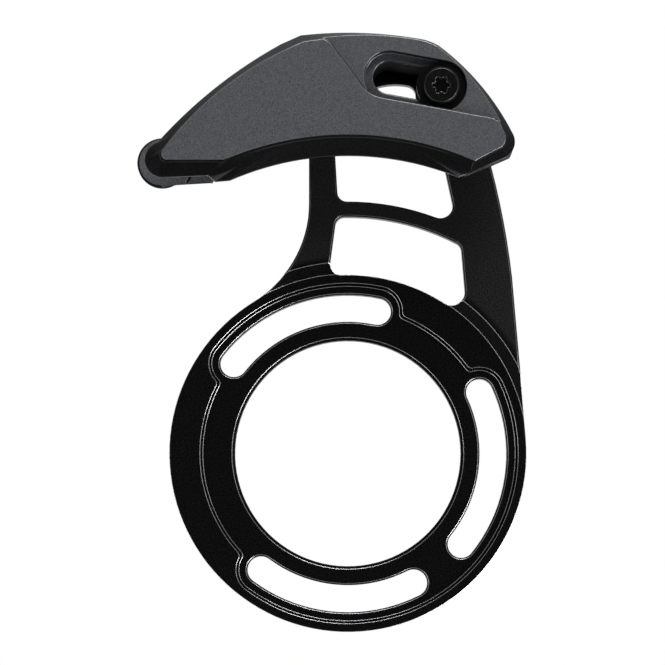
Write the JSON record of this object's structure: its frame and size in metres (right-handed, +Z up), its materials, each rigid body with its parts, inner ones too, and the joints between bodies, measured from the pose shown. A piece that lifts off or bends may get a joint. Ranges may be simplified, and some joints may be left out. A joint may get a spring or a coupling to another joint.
{
  "type": "bicycle chain guide",
  "caption": "Upper bicycle chain guide: a slotted ring plate with a windowed arm carries an adjustable moulded cage that keeps the chain on the chainring.",
  "frame": {"origin": "centre of the bottom bracket bore, on the back face of the ring that lies against the frame's tabs", "axes": "+X forward along the bicycle, +Y inboard towards the frame, +Z up as installed; the part reaches outboard along -Y"},
  "size_m": [0.0747, 0.0258, 0.1134],
  "materials": {
    "plate": "black anodised",
    "cage": "fine-grained moulded",
    "hardware": "black oxide"
  },
  "bodies": {
    "mount": {"back_plate": "plate", "clamp_bolt": "hardware", "clamp_sleeve": "hardware"},
    "guide": {"inner_guide": "cage", "outer_guide": "cage", "joining_screws": "hardware"}
  },
  "joints": [
    {"name": "guide_slide", "type": "slide", "parent": "mount", "child": "guide", "axis": [0.9836, 0, -0.1805], "range_m": [0, 0.0097]}
  ]
}
